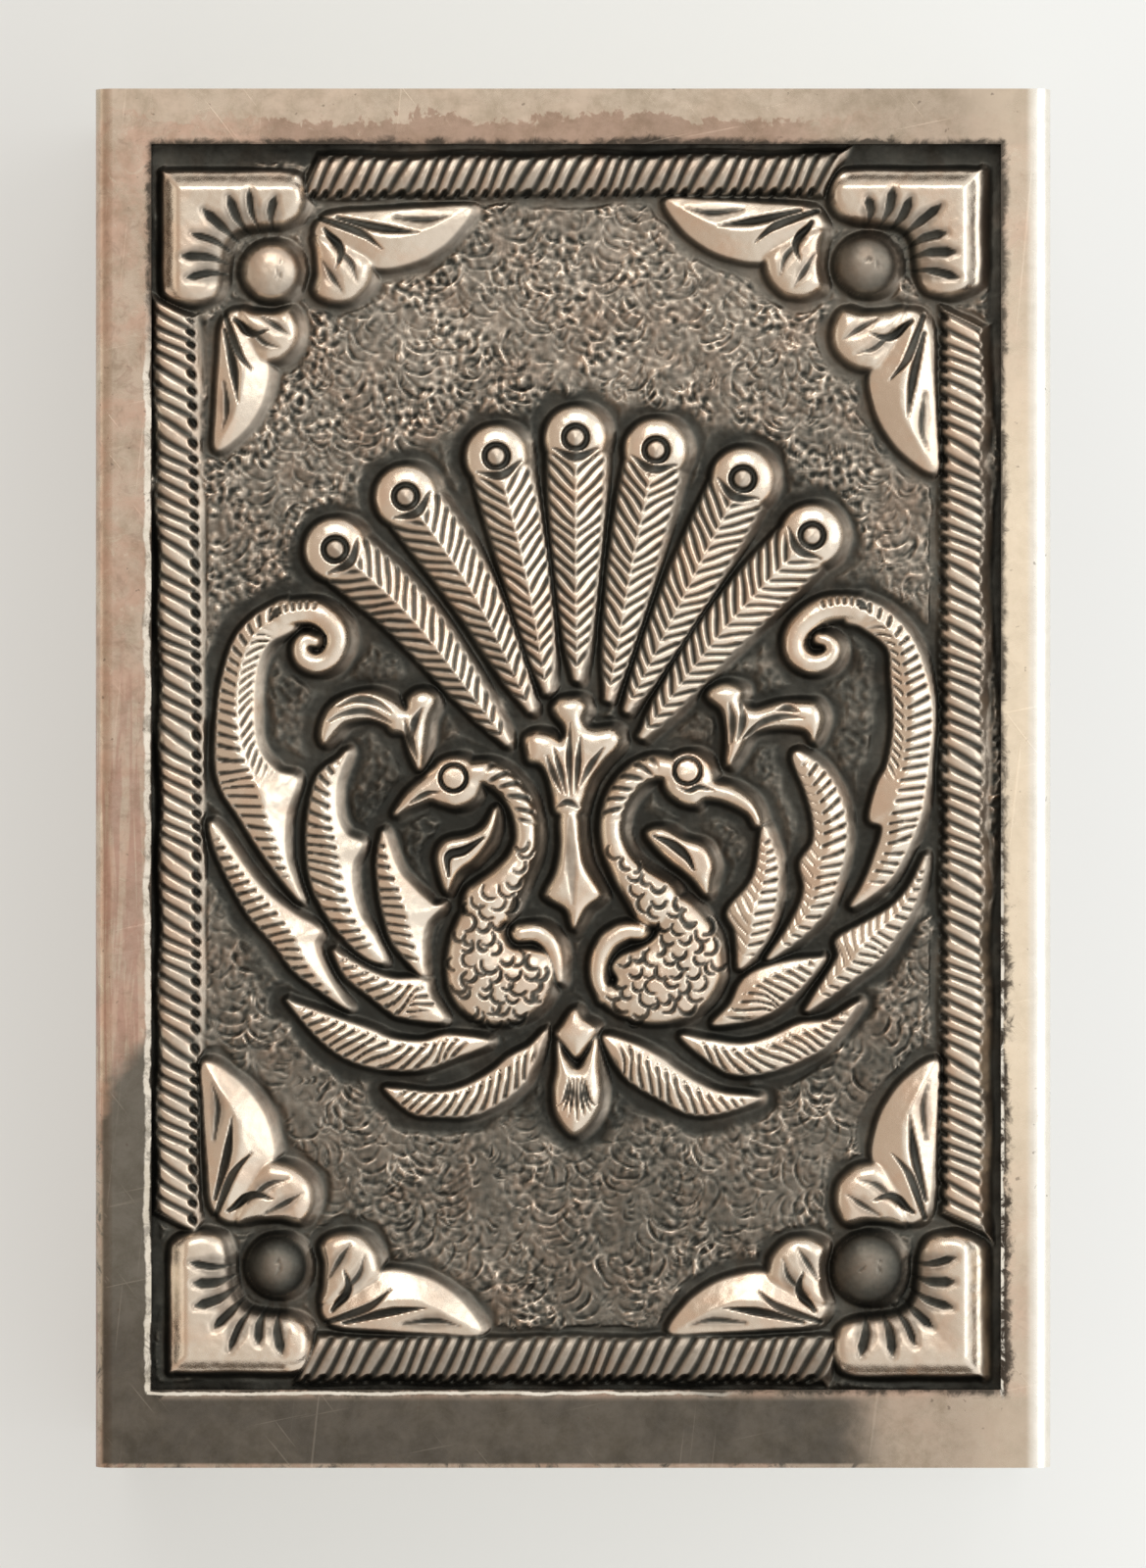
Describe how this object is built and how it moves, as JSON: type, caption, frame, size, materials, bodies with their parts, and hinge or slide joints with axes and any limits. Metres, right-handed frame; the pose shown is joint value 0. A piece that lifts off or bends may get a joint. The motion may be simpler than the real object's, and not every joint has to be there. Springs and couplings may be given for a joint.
{
  "type": "matchbox holder",
  "caption": "Open-ended sleeve of embossed silver sheet that slides over a card matchbox, with a window panel of chased ornament and a striking slot along one side.",
  "frame": {"origin": "middle of the flat back, on the plane that the holder rests on", "axes": "+X to the right of the embossed front, +Y towards the top of the ornament, +Z from the plain back to the embossed front"},
  "size_m": [0.038, 0.0548, 0.0164],
  "materials": {
    "polished_silver": "worn polish with a warm tarnish",
    "chased_silver": "bright on the raised work, dark in the recesses",
    "plain_silver": "worn polish",
    "solder": "dull",
    "printed_card": "matt",
    "plain_card": "matt",
    "striker": "gritty",
    "match_wood": "raw",
    "match_dip": "matt"
  },
  "bodies": {
    "holder": {"front_shell": "polished_silver", "embossed_panel": "chased_silver", "back_shell": "plain_silver", "solder_seam": "solder"},
    "matchbox": {"matchbox_sleeve": "printed_card", "striker_left": "striker", "striker_right": "striker"},
    "drawer": {"tray": "plain_card", "match_stick_01": "match_wood", "match_stick_02": "match_wood", "match_stick_03": "match_wood", "match_stick_04": "match_wood", "match_stick_05": "match_wood", "match_stick_06": "match_wood", "match_stick_07": "match_wood", "match_stick_08": "match_wood", "match_stick_09": "match_wood", "match_stick_10": "match_wood", "match_stick_11": "match_wood", "match_stick_12": "match_wood", "match_stick_13": "match_wood", "match_stick_14": "match_wood", "match_stick_15": "match_wood", "match_stick_16": "match_wood", "match_stick_17": "match_wood", "match_stick_18": "match_wood", "match_stick_19": "match_wood", "match_stick_20": "match_wood", "match_stick_21": "match_wood", "match_stick_22": "match_wood", "match_stick_23": "match_wood", "match_stick_24": "match_wood", "match_head_01": "match_dip", "match_head_02": "match_dip", "match_head_03": "match_dip", "match_head_04": "match_dip", "match_head_05": "match_dip", "match_head_06": "match_dip", "match_head_07": "match_dip", "match_head_08": "match_dip", "match_head_09": "match_dip", "match_head_10": "match_dip", "match_head_11": "match_dip", "match_head_12": "match_dip", "match_head_13": "match_dip", "match_head_14": "match_dip", "match_head_15": "match_dip", "match_head_16": "match_dip", "match_head_17": "match_dip", "match_head_18": "match_dip", "match_head_19": "match_dip", "match_head_20": "match_dip", "match_head_21": "match_dip", "match_head_22": "match_dip", "match_head_23": "match_dip", "match_head_24": "match_dip"}
  },
  "joints": [
    {"name": "matchbox_slide", "type": "slide", "parent": "holder", "child": "matchbox", "axis": [0, 1, 0], "range_m": [-0.045, 0.045]},
    {"name": "drawer_slide", "type": "slide", "parent": "matchbox", "child": "drawer", "axis": [0, 1, 0], "range_m": [-0.04, 0.04]}
  ]
}
